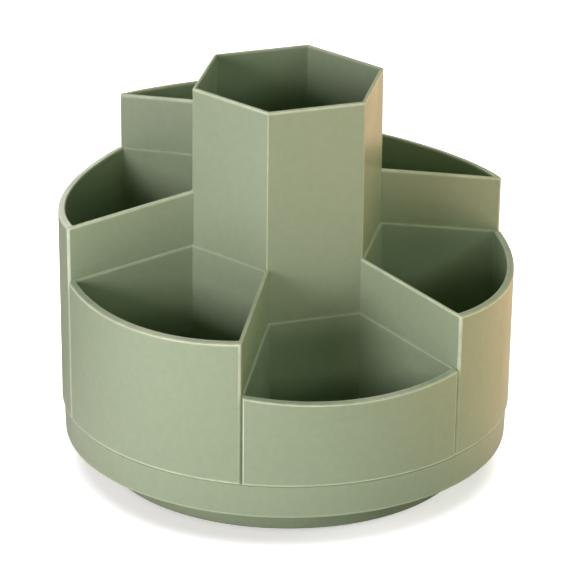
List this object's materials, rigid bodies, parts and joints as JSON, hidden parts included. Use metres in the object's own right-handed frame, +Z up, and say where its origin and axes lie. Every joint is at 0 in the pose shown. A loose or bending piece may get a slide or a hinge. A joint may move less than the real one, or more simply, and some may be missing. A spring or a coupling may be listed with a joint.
{
  "type": "rotating pen holder",
  "caption": "Round desk organizer with stepped, slanted compartments round a hexagonal centre tube, moulded in one piece and turning freely on a ball-ring base.",
  "frame": {"origin": "centre of the base on the desk, on the turning axis", "axes": "+Z up along the turning axis, -Y towards the lowest compartment"},
  "size_m": [0.1448, 0.1445, 0.1288],
  "materials": {
    "body_plastic": "satin sage green",
    "base_plastic": "satin sage green",
    "cage_plastic": "natural acetal",
    "ball_steel": "polished steel",
    "zinc_steel": "zinc plated",
    "foot_rubber": "matt black rubber"
  },
  "bodies": {
    "base": {"turntable_base": "base_plastic", "rubber_foot_1": "foot_rubber", "rubber_foot_2": "foot_rubber", "rubber_foot_3": "foot_rubber", "rubber_foot_4": "foot_rubber"},
    "organizer": {"organizer_body": "body_plastic", "pivot_washer": "zinc_steel", "pivot_screw": "zinc_steel"},
    "ball_ring": {"ball_cage": "cage_plastic", "bearing_ball_1": "ball_steel", "bearing_ball_2": "ball_steel", "bearing_ball_3": "ball_steel", "bearing_ball_4": "ball_steel", "bearing_ball_5": "ball_steel", "bearing_ball_6": "ball_steel", "bearing_ball_7": "ball_steel", "bearing_ball_8": "ball_steel", "bearing_ball_9": "ball_steel", "bearing_ball_10": "ball_steel", "bearing_ball_11": "ball_steel", "bearing_ball_12": "ball_steel"}
  },
  "joints": [
    {"name": "swivel", "type": "hinge", "parent": "base", "child": "organizer", "pos_m": [0, 0, 0.0133], "axis": [0, 0, 1], "continuous": true},
    {"name": "ball_ring_turn", "type": "hinge", "parent": "base", "child": "ball_ring", "pos_m": [0, 0, 0.0133], "axis": [0, 0, 1], "continuous": true}
  ],
  "couplings": [
    {"joint": "ball_ring_turn", "follows": "swivel", "ratio": 0.5}
  ]
}
